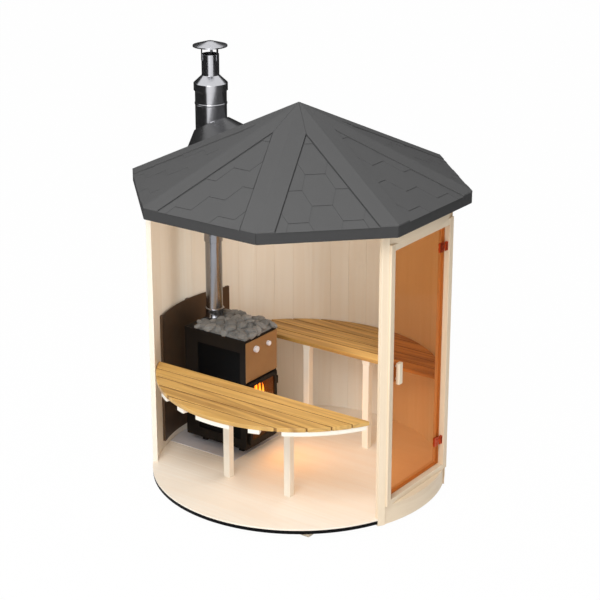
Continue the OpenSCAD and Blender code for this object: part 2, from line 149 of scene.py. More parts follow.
def noise(pen, place, scale, detail=2.0, rough=0.5, warp=0.0):
    sockets = {"Vector": place, "Scale": scale, "Detail": detail, "Roughness": rough,
               "Distortion": warp}
    return pen.node("ShaderNodeTexNoise", sockets=sockets)


def bump(pen, height, depth, strength):
    """A normal from a height that runs from 0 to 1 over depth metres."""
    return pen.node("ShaderNodeBump", sockets={"Strength": strength, "Distance": depth,
                                               "Height": height})


def own_place(pen):
    return pen.node("ShaderNodeTexCoord", out="Object")


def own_tone(pen):
    """The value from -1 to 1 that sets one board or tab apart from the next."""
    return pen.node("ShaderNodeAttribute", {"attribute_name": "tone"}, out="Fac")


print("finish helpers ready")

# %% [markdown]
# ## Wood
# Spruce and the honey-coloured bench wood show long fibres and faint growth rings. A picture of wood
# would need unwrapping; noise that is squeezed along the board needs none. Each board has a `tone`,
# which shifts the noise, so no two boards share their grain, and shades the board a little. The
# squeeze is a scale along X, Y or Z, whichever way the board lies. Inside, the wall is a little paler
# than the door frame, and the sides of the bench slats carry painted shade, a darker honey, where
# little light gets in.


# %% Wood finishes
# Noise scales of the soft patches and the fine fibres, and how tightly the rings follow a patch.
PATCHES, FIBRES, RINGS = 6.0, 130.0, 55.0


def wood(name, pale, deep, squeeze, figure, tint, rough=0.5):
    """Figure is the grain's contrast, and tint how far boards differ from each other."""
    material, pen, sockets = finish(name, Roughness=rough)
    tone = own_tone(pen)
    shift = pen.node("ShaderNodeCombineXYZ", sockets={0: tone * 3.1, 1: tone * 1.7, 2: tone * 2.3})
    place = pen.vector("MULTIPLY", pen.vector("ADD", own_place(pen), shift), squeeze)
    broad = noise(pen, place, PATCHES, 2.0, 0.5, 0.4)
    rings = pen.math("SINE", broad * RINGS) * 0.5 + 0.5
    fibre = noise(pen, place, FIBRES, 4.0, 0.65)
    grain = rings * 0.5 + fibre * 0.5
    shade = (grain - 0.5) * figure + broad * 0.7 + tone * tint
    pen.feed(sockets["Base Color"], pen.mix(pale, deep, shade))
    pen.feed(sockets["Roughness"], fibre * 0.2 + (rough - 0.1))
    pen.feed(sockets["Normal"], bump(pen, grain, 0.0005, 0.5))
    return material


SPRUCE = (paint(243, 226, 200), paint(224, 198, 164))
PALE_SPRUCE = (paint(252, 248, 237), paint(237, 223, 201))
FLOOR_SPRUCE = (paint(251, 244, 231), paint(244, 227, 205))
SAWN = (paint(250, 238, 220), paint(226, 204, 174))
HONEY = (paint(216, 172, 98), paint(142, 97, 41))
# The darker honey is painted shade, for the sides of the bench slats in the gaps.
HONEY_PAINTED_SHADE = (paint(150, 108, 56), paint(110, 74, 34))
ALONG_X, ALONG_Y, ALONG_Z = (0.05, 1, 1), (1, 0.05, 1), (1, 1, 0.05)
spruce_upright = wood("spruce_upright", *SPRUCE, ALONG_Z, 0.3, 0.2)
spruce_across = wood("spruce_across", *SPRUCE, ALONG_X, 0.3, 0.12)
spruce_stave = wood("spruce_stave", *PALE_SPRUCE, ALONG_Z, 0.22, 0.14)
spruce_inward = wood("spruce_inward", *PALE_SPRUCE, ALONG_Y, 0.2, 0.03)
spruce_floor = wood("spruce_floor", *FLOOR_SPRUCE, ALONG_Y, 0.35, 0.05)
bench_wood = wood("bench_wood", *HONEY, ALONG_Y, 1.1, 0.34, 0.42)
painted_shade_slat_wood = wood("painted_shade_slat_wood", *HONEY_PAINTED_SHADE, ALONG_Y, 0.7, 0.22, 0.6)
bearer_wood = wood("bearer_wood", *SAWN, ALONG_Y, 0.4, 0.15)
print("wood finishes", [m.name for m in bpy.data.materials if "spruce" in m.name or "wood" in m.name])

# %% [markdown]
# ## Roofing and metals
# Bitumen shingles carry crushed slate, a speckle of grains about a millimetre across. The chimney
# is polished steel, whose look is all reflection, so its finish is only a metal with faint wipes of
# roughness. The stove is black painted sheet with a bronze front panel, and its shield is brown. Black
# paint has a low specular level, because a white studio would turn it grey.


# %% Roofing and sheet finishes
def granules(name, colour, dark, light):
    """Felt under crushed slate: dark and light grains over one colour, and worn clouds."""
    material, pen, sockets = finish(name, Roughness=0.85)
    place = own_place(pen)
    grain = noise(pen, place, 700.0, 2.0, 0.6)
    cloud = noise(pen, place, 9.0, 3.0, 0.6)
    shade = pen.mix(pen.mix(dark, light, grain * 1.6 - 0.3), colour, 0.45)
    worn = cloud * 0.5 + own_tone(pen) * 0.12 - 0.05
    pen.feed(sockets["Base Color"], pen.mix(shade, light, worn * 0.35))
    pen.feed(sockets["Roughness"], grain * 0.2 + 0.72)
    pen.feed(sockets["Normal"], bump(pen, grain, 0.0012, 0.6))
    return material


def sheet(name, colour, other, rough, metal, speckle=300.0, depth=0.0002, **constants):
    """Painted or bare sheet: a faint orange-peel bump, cloudy colour and handled roughness."""
    material, pen, sockets = finish(name, Metallic=metal, **constants)
    place = own_place(pen)
    cloud = noise(pen, place, 5.0, 4.0, 0.6)
    peel = noise(pen, place, speckle, 2.0)
    pen.feed(sockets["Base Color"], pen.mix(colour, other, cloud))
    pen.feed(sockets["Roughness"], cloud * 0.18 + peel * 0.06 + (rough - 0.12))
    pen.feed(sockets["Normal"], bump(pen, peel, depth, 0.4))
    return material


bitumen = granules("bitumen", paint(80, 80, 80), paint(62, 62, 63), paint(96, 96, 96))
# Dark felt: the eaves' own colour, and the deck's top, where its darkness also paints shade into the
# gaps between tabs and along the hip caps.
dark_felt_and_gap_shade = granules("dark_felt_and_gap_shade", paint(54, 54, 55), paint(42, 42, 43), paint(66, 66, 66))
ROLLED = {"speckle": 60.0, "depth": 0.00005}
polished_steel = sheet("polished_steel", paint(214, 214, 218), paint(190, 191, 196), 0.2, 1.0, **ROLLED)
flue_steel = sheet("flue_steel", paint(162, 163, 168), paint(136, 137, 143), 0.2, 1.0, **ROLLED)
boot_sheet = sheet("boot_sheet", paint(112, 112, 113), paint(88, 88, 89), 0.28, 0.85)
# The grey sheet is the hearth plate's own colour; on the stove panel's studs its near white is a
# painted highlight.
grey_sheet = sheet("grey_sheet", paint(226, 224, 229), paint(208, 207, 212), 0.45, 0.1)
brown_sheet = sheet("brown_sheet", paint(104, 86, 70), paint(80, 65, 52), 0.4, 0.6)
bronze_panel = sheet("bronze_panel", paint(158, 119, 76), paint(136, 99, 61), 0.34, 0.3)
copper = sheet("copper", paint(206, 88, 42), paint(176, 62, 24), 0.3, 0.85)
black_steel = sheet("black_steel", paint(32, 27, 23), paint(21, 18, 16), 0.45, 0.0,
                    Specular_IOR_Level=0.12)
black_enamel = sheet("black_enamel", paint(9, 10, 12), paint(5, 6, 7), 0.35, 0.0,
                     Specular_IOR_Level=0.06)
black_band = sheet("black_band", paint(16, 15, 17), paint(9, 9, 10), 0.5, 0.0, Specular_IOR_Level=0.06)
firebrick = sheet("firebrick", paint(120, 96, 78), paint(70, 54, 44), 0.9, 0.0, 90.0, 0.002)
print("sheet finishes ready")

# %% [markdown]
# ## Stone, glass and fire
# Sauna stones are grey and dull, with a coarse speckle. The door is bronze-tinted toughened glass, so
# it is a clear shader with a coloured transmission; a low index of refraction keeps the white studio
# from veiling it. Flames glow: their colour runs from yellow at the root to deep orange at the tip, by
# height.


# %% Stone, glass and fire finishes
def stone_finish():
    material, pen, sockets = finish("stove_stone", Roughness=0.85)
    place = own_place(pen)
    fleck = noise(pen, place, 160.0, 3.0, 0.7)
    vein = noise(pen, place, 24.0, 4.0, 0.6, 0.8)
    shade = fleck * 0.6 + vein * 0.5 + own_tone(pen) * 0.3 - 0.1
    pen.feed(sockets["Base Color"], pen.mix(paint(138, 138, 136), paint(84, 85, 84), shade))
    pen.feed(sockets["Roughness"], fleck * 0.2 + 0.7)
    pen.feed(sockets["Normal"], bump(pen, fleck, 0.003, 0.6))
    return material


GLASS_INDEX = 1.07


def glass_finish(name, tint, smear):
    """Tinted glass with faint wipe marks, up to smear in roughness."""
    material, pen, sockets = finish(name, Transmission_Weight=1.0, IOR=GLASS_INDEX, Base_Color=tint)
    wipe = noise(pen, own_place(pen), 11.0, 3.0, 0.6)
    pen.feed(sockets["Roughness"], wipe * smear)
    return material


def glow_finish(name, low, high, strength, stops):
    """Glowing matter whose colour runs over the heights from low to high."""
    material, pen, sockets = finish(name, Base_Color=(0, 0, 0, 1), Roughness=0.9,
                                    Emission_Strength=strength)
    place = own_place(pen)
    height = pen.node("ShaderNodeSeparateXYZ", sockets={0: place}, out="Z")
    lick = noise(pen, place, 30.0, 3.0)
    level = (height - low) * (1 / (high - low)) + (lick - 0.5) * 0.5
    pen.feed(sockets["Emission Color"], pen.node("ShaderNodeValToRGB", {"stops": stops}, {0: level}))
    return material


stove_stone = stone_finish()
bronze_glass = glass_finish("bronze_glass", paint(226, 170, 116), 0.015)
fire_glass = glass_finish("fire_glass", paint(240, 228, 214), 0.03)
FLAME_STOPS = [(0.0, paint(255, 226, 130)), (0.35, paint(255, 170, 50)), (1.0, paint(226, 74, 10))]
EMBER_STOPS = [(0.0, paint(20, 12, 10)), (0.5, paint(200, 50, 10)), (1.0, paint(255, 150, 40))]
flame_glow = glow_finish("flame_glow", 0.26, 0.62, 4.0, FLAME_STOPS)
ember_glow = glow_finish("ember_glow", 0.19, 0.25, 2.0, EMBER_STOPS)
print("all finishes", len(bpy.data.materials))

# %% [markdown]
# ## From tree to plain mesh
# Geometry Nodes make what repeats here: staves, shingles, ceiling boards, stones and screws. Each
# tree has named inputs, and its result is read back as a plain mesh, so nothing depends on a live
# modifier later. `settle` then hands a finished piece to the frame.


# %% Piece helpers
def new_object(name, mesh):
    obj = bpy.data.objects.new(name, mesh)
    bpy.context.scene.collection.objects.link(obj)
    return obj


def from_bmesh(name, bm, *materials):
    mesh = bpy.data.meshes.new(name)
    bm.to_mesh(mesh)
    bm.free()
    for material in materials:
        mesh.materials.append(material)
    return new_object(name, mesh)


def rework(obj, change):
    """Runs a change on the object's mesh, opened as a bmesh."""
    bm = bmesh.new()
    bm.from_mesh(obj.data)
    change(bm)
    bm.to_mesh(obj.data)
    bm.free()
    return obj


def bake_modifiers(obj):
    """The object's evaluated shape becomes its own mesh, and the modifiers go."""
    graph = bpy.context.evaluated_depsgraph_get()
    mesh = bpy.data.meshes.new_from_object(obj.evaluated_get(graph), preserve_all_data_layers=True,
                                           depsgraph=graph)
    obj.modifiers.clear()
    spare, obj.data = obj.data, mesh
    bpy.data.meshes.remove(spare)
    return obj


def soften(obj, angle=32):
    obj.data.shade_smooth()
    obj.data.set_sharp_from_angle(angle=math.radians(angle))
    return obj


def settle(obj, body="sauna", replaced=()):
    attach(obj, body)
    if replaced:
        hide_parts(*replaced)
    triangles = sum(len(face.vertices) - 2 for face in obj.data.polygons)
    print(f"{obj.name}: {triangles} triangles on {body}")
    return obj


print("piece helpers ready")


# %% Geometry tree helpers
def new_tree(name, inputs):
    """A geometry tree: returns it with a pen and its named inputs as Wires."""
    tree = bpy.data.node_groups.new(name, "GeometryNodeTree")
    tree.interface.new_socket("Geometry", in_out="INPUT", socket_type="NodeSocketGeometry")
    for label, kind in inputs.items():
        tree.interface.new_socket(label, in_out="INPUT", socket_type="NodeSocket" + kind)
    tree.interface.new_socket("Geometry", in_out="OUTPUT", socket_type="NodeSocketGeometry")
    source = tree.nodes.new("NodeGroupInput")
    wires = {label: Wire(tree, source.outputs[label]) for label in ["Geometry", *inputs]}
    return tree, Wire(tree), wires


def close_tree(pen, copies, wires):
    """Tones for the copies, then real geometry with its finish."""
    tone = pen.node("FunctionNodeRandomValue", {"data_type": "FLOAT"},
                    {2: -1.0, 3: 1.0, "Seed": wires["Seed"]}, 1)
    toned = pen.node("GeometryNodeStoreNamedAttribute", {"data_type": "FLOAT", "domain": "INSTANCE"},
                     {"Geometry": copies, "Name": "tone", "Value": tone})
    real = pen.node("GeometryNodeRealizeInstances", sockets={0: toned})
    shown = pen.node("GeometryNodeSetMaterial", sockets={"Geometry": real,
                                                         "Material": wires["Material"]})
    pen.node("NodeGroupOutput", sockets={0: shown})


def grow(obj, tree, **values):
    """Runs a tree on an object, with its inputs set by their identifiers, and keeps the mesh."""
    modifier = obj.modifiers.new("grow", "NODES")
    modifier.node_group = tree
    for item in tree.interface.items_tree:
        if item.in_out == "INPUT" and item.name in values:
            modifier[item.identifier] = values[item.name]
    return bake_modifiers(obj)


print("tree helpers ready")

# %% [markdown]
# ## Staves
# The wall is a ring of upright staves, tongue and groove, each with a groove near its foot that
# holds the floor's edge. Modelling every stave would be slow and hard to change, so one stave is
# swept from its section, its long edges are eased, and a tree sets it round the axis. The faces that
# look outwards then get the door frame's finish.


# %% Tree that sets a piece round the axis
def ring_tree():
    tree, pen, wires = new_tree("set_round", {"Count": "Int", "Start": "Float", "Step": "Float",
                                              "Seed": "Int", "Material": "Material"})
    line = pen.node("GeometryNodeMeshLine", sockets={"Count": wires["Count"], "Offset": (0, 0, 0)})
    turn = wires["Start"] + pen.node("GeometryNodeInputIndex") * wires["Step"]
    spin = pen.node("FunctionNodeEulerToRotation", sockets={
        0: pen.node("ShaderNodeCombineXYZ", sockets={2: turn})})
    copies = pen.node("GeometryNodeInstanceOnPoints", sockets={
        "Points": line, "Instance": wires["Geometry"], "Rotation": spin})
    close_tree(pen, copies, wires)
    return tree


set_round = ring_tree()
print(set_round.name)


# %% Rings of vertices
def bridge(bm, rings):
    """Joins closed rings of vertices, each to the next, with four-sided faces."""
    for one, two in zip(rings, rings[1:]):
        for i in range(len(one)):
            j = (i + 1) % len(one)
            bm.faces.new((one[i], one[j], two[j], two[i]))


def close_ends(bm, rings, index=0):
    """Caps the first and the last ring, and turns all faces outwards."""
    bm.faces.new(rings[0][::-1]).material_index = index
    bm.faces.new(rings[-1]).material_index = index
    bmesh.ops.recalc_face_normals(bm, faces=bm.faces)


def turns(count):
    """Angles that divide a full turn."""
    return [2 * math.pi * k / count for k in range(count)]


def polar(radius, angle, z=0.0):
    return (radius * math.cos(angle), radius * math.sin(angle), z)


print("ring helpers ready")

# %% One stave
FLOOR_FOOT, FLOOR_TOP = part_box("floor")[0].z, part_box("floor")[1].z
FLOOR_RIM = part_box("floor")[1].x
WALL_OUT, WALL_IN = 1.0, 0.968
GROOVE = FLOOR_RIM + 0.001
GROOVE_TOP = FLOOR_TOP + 0.0005
WALL_FOOT, WALL_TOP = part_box("wall_bay_4")[0].z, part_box("wall_bay_4")[1].z
FIRST_STAVE, STAVE_STEP, STAVES = math.radians(-66), math.radians(8), 24
STAVE_JOINT, STAVE_EASE = 0.0003, 0.0007


def stave():
    """One stave over +X: its section in (radius, height) points, swept in a few steps."""
    section = [(WALL_IN, WALL_FOOT), (WALL_OUT, WALL_FOOT), (WALL_OUT, WALL_TOP), (WALL_IN, WALL_TOP),
               (WALL_IN, GROOVE_TOP), (GROOVE, GROOVE_TOP), (GROOVE, FLOOR_FOOT), (WALL_IN, FLOOR_FOOT)]
    steps = 4
    angles = [STAVE_JOINT + (STAVE_STEP - 2 * STAVE_JOINT) * i / steps for i in range(steps + 1)]
    bm = bmesh.new()
    rings = [[bm.verts.new(polar(r, a, z)) for r, z in section] for a in angles]
    bridge(bm, rings)
    close_ends(bm, rings)
    ends = (angles[0], angles[-1])
    long_edges = [e for e in bm.edges if abs(e.verts[0].co.z - e.verts[1].co.z) > 0.02
                  and min(abs(math.atan2(e.verts[0].co.y, e.verts[0].co.x) - a) for a in ends) < 1e-5]
    bmesh.ops.bevel(bm, geom=long_edges, offset=STAVE_EASE, segments=1, affect="EDGES")
    return from_bmesh("wall_staves", bm, spruce_stave)


print("wall from", round(WALL_FOOT, 4), "to", round(WALL_TOP, 4))


# %% The wall
def refinish(obj, material, chosen):
    """Gives the chosen faces of a piece a second finish."""
    obj.data.materials.append(material)
    index = len(obj.data.materials) - 1
    for face in obj.data.polygons:
        if chosen(face.center, face.normal):
            face.material_index = index


def faces_outward(centre, normal):
    return centre.x * normal.x + centre.y * normal.y > WALL_OUT / 2


wall_staves = grow(stave(), set_round, Count=STAVES, Start=FIRST_STAVE, Step=STAVE_STEP, Seed=4,
                   Material=spruce_stave)
refinish(wall_staves, spruce_upright, faces_outward)
soften(wall_staves, 20)
settle(wall_staves, replaced=[f"wall_bay_{i}" for i in range(1, 9)])
print("tone kept", "tone" in wall_staves.data.attributes)

# %% [markdown]
# ## Shingles
# Each roof face carries hexagon tabs, about three to the metre, in rows 0.14 m apart that are
# staggered by half a tab. A tab is thickest at its lower edge, where it lies on the row below. A tree
# lays a field of tabs; the field is then cut along the hip caps, as a roofer cuts them, and set round
# the eight sides. On the chimney's side the tabs stop at the boot.


# %% Tree that lays staggered rows
def field_tree():
    tree, pen, wires = new_tree("lay_rows", {
        "Columns": "Int", "Rows": "Int", "Pitch": "Float", "Exposure": "Float", "First row": "Float",
        "Stagger": "Float", "Seed": "Int", "Material": "Material"})
    count = wires["Columns"] * wires["Rows"]
    line = pen.node("GeometryNodeMeshLine", sockets={"Count": count, "Offset": (0, 0, 0)})
    index = pen.node("GeometryNodeInputIndex")
    row = pen.math("FLOOR", pen.math("DIVIDE", index + 0.5, wires["Columns"]))
    column = index - row * wires["Columns"]
    odd = pen.math("MODULO", row, 2.0)
    across = (column - (wires["Columns"] - 1.0) * 0.5 + odd * wires["Stagger"]) * wires["Pitch"]
    up = row * wires["Exposure"] + wires["First row"]
    spot = pen.node("ShaderNodeCombineXYZ", sockets={0: across, 1: up})
    placed = pen.node("GeometryNodeSetPosition", sockets={"Geometry": line, "Position": spot})
    copies = pen.node("GeometryNodeInstanceOnPoints", sockets={
        "Points": placed, "Instance": wires["Geometry"]})
    close_tree(pen, copies, wires)
    return tree


lay_rows = field_tree()
print(lay_rows.name)

# %% The roof's plane
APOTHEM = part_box("fascia")[1].x
FASCIA_THICK = 0.022
ROOF_RISE = 0.516
PITCH = math.atan2(ROOF_RISE, APOTHEM)
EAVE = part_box("fascia")[1].z - FASCIA_THICK * math.tan(PITCH)
SLOPE = APOTHEM / math.cos(PITCH)
HIP = math.atan2(APOTHEM * math.tan(math.radians(22.5)), SLOPE)


def slope_matrix():
    """Takes (along the eave, up the slope, off the roof) to the roof face over +X."""
    along = Vector((0, 1, 0))
    up = Vector((-math.cos(PITCH), 0, math.sin(PITCH)))
    matrix = Matrix((along, up, along.cross(up))).transposed().to_4x4()
    matrix.translation = Vector((APOTHEM, 0, EAVE))
    return matrix


print("slope", round(SLOPE, 4), "hip half angle", round(math.degrees(HIP), 2))

# %% One tab
TAB_PITCH, TAB_FLAT, TAB_EXPOSURE = 0.333, 0.125, 0.14
TAB_THICK, TAB_THIN, TAB_LIFT, TAB_GAP = 0.0045, 0.001, 0.0002, 0.0004


def prism(bm, top, foot):
    """A straight body between two outlines, one over the other."""
    bm.faces.new(top)
    bm.faces.new(foot[::-1])
    bridge(bm, [foot, top])


def tab():
    """A hexagon tab, a wedge that is thickest at its lower edge."""
    half, wide = TAB_FLAT / 2 - TAB_GAP, (TAB_PITCH - TAB_FLAT) / 2 - TAB_GAP
    tall = 2 * TAB_EXPOSURE
    outline = [(-half, TAB_GAP), (half, TAB_GAP), (wide, TAB_EXPOSURE), (half, tall - TAB_GAP),
               (-half, tall - TAB_GAP), (-wide, TAB_EXPOSURE)]
    bm = bmesh.new()
    top = [bm.verts.new((x, y, TAB_THICK - (TAB_THICK - TAB_THIN) * y / tall)) for x, y in outline]
    foot = [bm.verts.new((x, y, TAB_LIFT)) for x, y in outline]
    prism(bm, top, foot)
    return from_bmesh("tabs", bm, bitumen)


print("tab", round(TAB_PITCH - TAB_FLAT, 3), "wide and", 2 * TAB_EXPOSURE, "high")

# %% Seven plain faces
FIRST_TABS, EAVE_DRIP = -0.21, 0.004
HIP_CAP, CAP_ROOM = 0.105, 0.007
EIGHTH = math.radians(45)


def cut_away(bm, point, normal):
    """Removes what lies on the normal's side of a plane and closes the cut."""
    cut = bmesh.ops.bisect_plane(bm, geom=bm.verts[:] + bm.edges[:] + bm.faces[:],
                                 plane_co=point, plane_no=normal, clear_outer=True)
    edges = [e for e in cut["geom_cut"] if isinstance(e, bmesh.types.BMEdge)]
    bmesh.ops.holes_fill(bm, edges=edges, sides=0)


def hip_cuts(bm, inset):
    """Cuts a field along both hips, inset metres from the hip lines."""
    for side in (-1, 1):
        normal = Vector((side * math.cos(HIP), math.sin(HIP), 0))
        cut_away(bm, Vector((0, SLOPE, 0)) - normal * inset, normal)


def tab_field(low, high, seed):
    """Tabs of one face between two heights up the slope, trimmed to the hip caps."""
    field = grow(tab(), lay_rows, **{
        "Columns": 4, "Rows": 10, "Pitch": TAB_PITCH, "Exposure": TAB_EXPOSURE, "First row": FIRST_TABS,
        "Stagger": 0.5, "Seed": seed, "Material": bitumen})

    def trim(bm):
        cut_away(bm, (0, low, 0), (0, -1, 0))
        cut_away(bm, (0, high, 0), (0, 1, 0))
        hip_cuts(bm, HIP_CAP + CAP_ROOM)
        bm.transform(slope_matrix())

    return rework(field, trim)


seven = grow(tab_field(-EAVE_DRIP, SLOPE, 3), set_round, Count=7, Start=3 * EIGHTH, Step=EIGHTH,
             Seed=9, Material=bitumen)
print("seven plain faces", len(seven.data.polygons))

# %% The chimney's face, and all shingles as one piece
FLUE_Y = 0.715
BOOT_TOP, BOOT_FOOT = FLUE_Y - 0.225, FLUE_Y + 0.18


def up_slope(radius):
    return (APOTHEM - radius) / math.cos(PITCH)


below = tab_field(-EAVE_DRIP, up_slope(BOOT_FOOT), 5)
above = tab_field(up_slope(BOOT_TOP), SLOPE, 6)


def joined(name, objects, *materials):
    bm = bmesh.new()
    for obj in objects:
        bm.from_mesh(obj.data)
        bpy.data.objects.remove(obj)
    return from_bmesh(name, bm, *materials)


for part in (below, above):
    part.data.transform(Matrix.Rotation(2 * EIGHTH, 4, "Z"))
shingles = joined("shingles", [seven, below, above], bitumen)
settle(shingles)

# %% [markdown]
# ## Roof deck and ceiling
# The panels under the shingles are dark felt on top and wood below; where the felt shows in the gaps
# between tabs and along the hip caps, its darkness is also painted shade. The construction model's
# panels keep their shape; a copy of them gets a second finish on the faces that look down. Inside,
# ceiling boards follow the slope: the row tree again, trimmed by the hips, the wall and the flue.


# %% Copies of construction nodes
def tone_parts(mesh, seed):
    """Gives every loose part of a mesh its own tone."""
    leader = list(range(len(mesh.vertices)))

    def root(i):
        while leader[i] != i:
            leader[i] = leader[leader[i]]
            i = leader[i]
        return i

    for one, two in mesh.edge_keys:
        leader[root(one)] = root(two)
    draw = random.Random(seed)
    tones = {}
    for i in range(len(leader)):
        if root(i) not in tones:
            tones[root(i)] = draw.uniform(-1, 1)
    values = mesh.attributes.new("tone", "FLOAT", "POINT")
    values.data.foreach_set("value", [tones[root(i)] for i in range(len(leader))])


def node_copy(name, node, *materials):
    """A merged copy of a construction node's mesh, with its flat faces whole again."""
    bm = bmesh.new()
    bm.from_mesh(nodes[node].data)
    bmesh.ops.remove_doubles(bm, verts=bm.verts, dist=1e-5)
    bmesh.ops.dissolve_limit(bm, angle_limit=math.radians(0.4), verts=bm.verts, edges=bm.edges)
    for layer in list(bm.loops.layers.float_vector.values()):
        bm.loops.layers.float_vector.remove(layer)
    for face in bm.faces:
        face.material_index = 0
    return from_bmesh(name, bm, *materials)


def ease(obj, width, segments):
    """Rounds the sharp edges; large faces set the normals, so flat ones stay flat."""
    bevel = obj.modifiers.new("ease", "BEVEL")
    bevel.width = width
    bevel.segments = segments
    bevel.limit_method = "ANGLE"
    bevel.angle_limit = math.radians(30)
    weigh = obj.modifiers.new("weigh", "WEIGHTED_NORMAL")
    weigh.mode = "FACE_AREA"
    weigh.keep_sharp = True
    return bake_modifiers(obj)


def eased(name, node, width, material, body="sauna", seed=0, segments=2):
    """A node's copy with its edges eased by width, standing for the node."""
    obj = soften(node_copy(name, node, material))
    ease(obj, width, segments)
    tone_parts(obj.data, seed)
    return settle(obj, body, [node])


print("copy helpers ready")

# %% Deck with a wooden underside
roof_deck = node_copy("roof_deck", "roof_panels", dark_felt_and_gap_shade)
refinish(roof_deck, spruce_across, lambda centre, normal: normal.z < -0.5)
settle(roof_deck, replaced=["roof_panels"])

# %% Ceiling boards
PANEL_THICK = 0.04
PANEL_GAP = 0.0006
CEILING = -PANEL_THICK * math.cos(PITCH) - PANEL_GAP
BOARD_STEP, BOARD_THICK, BOARD_GAP, BOARD_EASE = 0.096, 0.012, 0.0012, 0.0018
CEILING_R = 0.949
FLUE_RADIUS, FLUE_ROOM = 0.1055, 0.012


def long_board(length, width, thick):
    bm = bmesh.new()
    bmesh.ops.create_cube(bm, size=1, matrix=Matrix.Diagonal((length, width, thick, 1)))
    edges = [e for e in bm.edges if abs(e.verts[0].co.x - e.verts[1].co.x) > length / 2]
    bmesh.ops.bevel(bm, geom=edges, offset=BOARD_EASE, segments=1, affect="EDGES")
    return from_bmesh("board", bm, spruce_across)


def bored(obj, operation, radius, y):
    """Trims an object with an upright cylinder."""
    bm = bmesh.new()
    bmesh.ops.create_cone(bm, cap_ends=True, segments=96, radius1=radius, radius2=radius, depth=6,
                          matrix=Matrix.Translation((0, y, 0)))
    tool = from_bmesh("tool", bm)
    modifier = obj.modifiers.new("bore", "BOOLEAN")
    modifier.operation = operation
    modifier.object = tool
    modifier.solver = "EXACT"
    bake_modifiers(obj)
    bpy.data.objects.remove(tool)
    return obj


def ceiling_sector(seed):
    boards = grow(long_board(1.2, BOARD_STEP - BOARD_GAP, BOARD_THICK), lay_rows, **{
        "Columns": 1, "Rows": 12, "Pitch": 1.0, "Exposure": BOARD_STEP, "First row": 0.04,
        "Stagger": 0.0, "Seed": seed, "Material": spruce_across})

    def trim(bm):
        hip_cuts(bm, BOARD_GAP)
        bm.transform(Matrix.Translation((0, 0, CEILING - BOARD_THICK / 2)))
        bm.transform(slope_matrix())

    return bored(rework(boards, trim), "INTERSECT", CEILING_R, 0)


seven = grow(ceiling_sector(21), set_round, Count=7, Start=3 * EIGHTH, Step=EIGHTH, Seed=2,
             Material=spruce_across)
flue_side = ceiling_sector(22)
flue_side.data.transform(Matrix.Rotation(2 * EIGHTH, 4, "Z"))
bored(flue_side, "DIFFERENCE", FLUE_RADIUS + FLUE_ROOM, FLUE_Y)
settle(joined("ceiling_boards", [seven, flue_side], spruce_across))

# %% [markdown]
# ## Eaves, hips and boot
# These are already whole in the construction model. Copies of them get a small round on their edges,
# which catches the light the way a folded strip of felt does.

# %% Roof trim
eased("eaves_trim", "fascia", 0.004, dark_felt_and_gap_shade)
eased("hip_strips", "hip_caps", 0.002, bitumen)
eased("chimney_boot", "flashing", 0.002, boot_sheet)
eased("eaves_ring", "wall_plate", 0.001, spruce_across)

# %% [markdown]
# ## Floor
# The floor is a round of tongue-and-groove boards with very tight joints. Its top has a lip over a
# black band: the lip ends in the wall's groove, and at the wall's outer line where the wall is left
# out. One plan serves all boards, and each board is a strip cut from it. The band's lowest points are
# moved 8 mm down, below the floor, which widens the dark line under the floor's edge.


# %% Floor boards
FLOOR_BOARD, FLOOR_JOINT = 0.14, 0.0003
LIP_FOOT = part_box("base_band")[1].z + FLOOR_JOINT
DISC_RIM = 0.9635
BAND_FOOT, BAND_LAP = FLOOR_FOOT + 0.004, 0.008
OPEN_FRONT = (126.03, 245.97)


def floor_plan(low, high, walled, opened):
    """A disc as a prism, with one radius inside the wall and another in the open front."""
    rim = [(a, opened if OPEN_FRONT[0] < a < OPEN_FRONT[1] else walled) for a in range(0, 360, 2)]
    for edge in OPEN_FRONT:
        rim += [(edge, walled), (edge, opened)]
    rim.sort(key=lambda spot: (spot[0], spot[1] if spot[0] == OPEN_FRONT[0] else -spot[1]))
    bm = bmesh.new()
    top, foot = [[bm.verts.new(polar(r, math.radians(a), z)) for a, r in rim] for z in (high, low)]
    prism(bm, top, foot)
    return bm


def round_boards(name, material):
    """Boards of the floor's lip, on a plain disc that fills the floor below it."""
    parts = [from_bmesh("disc", floor_plan(FLOOR_FOOT, LIP_FOOT, DISC_RIM, DISC_RIM), material)]
    left = -WALL_OUT
    while left < WALL_OUT - FLOOR_BOARD / 4:
        bm = floor_plan(LIP_FOOT, FLOOR_TOP, FLOOR_RIM, WALL_OUT)
        cut_away(bm, (left + FLOOR_JOINT, 0, 0), (-1, 0, 0))
        cut_away(bm, (left + FLOOR_BOARD - FLOOR_JOINT, 0, 0), (1, 0, 0))
        parts.append(from_bmesh("board", bm, material))
        left += FLOOR_BOARD
    obj = ease(soften(joined(name, parts, material)), 0.0006, 1)
    tone_parts(obj.data, 11)
    return obj


settle(round_boards("floor_boards", spruce_floor), replaced=["floor"])
eased("floor_bearers", "bearers", 0.003, bearer_wood, seed=5)
edge_band = eased("floor_edge_band", "base_band", 0.002, black_band)
for vert in edge_band.data.vertices:
    if vert.co.z < BAND_FOOT:
        vert.co.z -= BAND_LAP

# %% [markdown]
# ## Doorway and door
# A flat rebated frame is let into the round wall. Its members keep the construction model's shape and
# get eased edges. The leaf is bare glass on two clamp hinges, so its parts ride on the door's body.

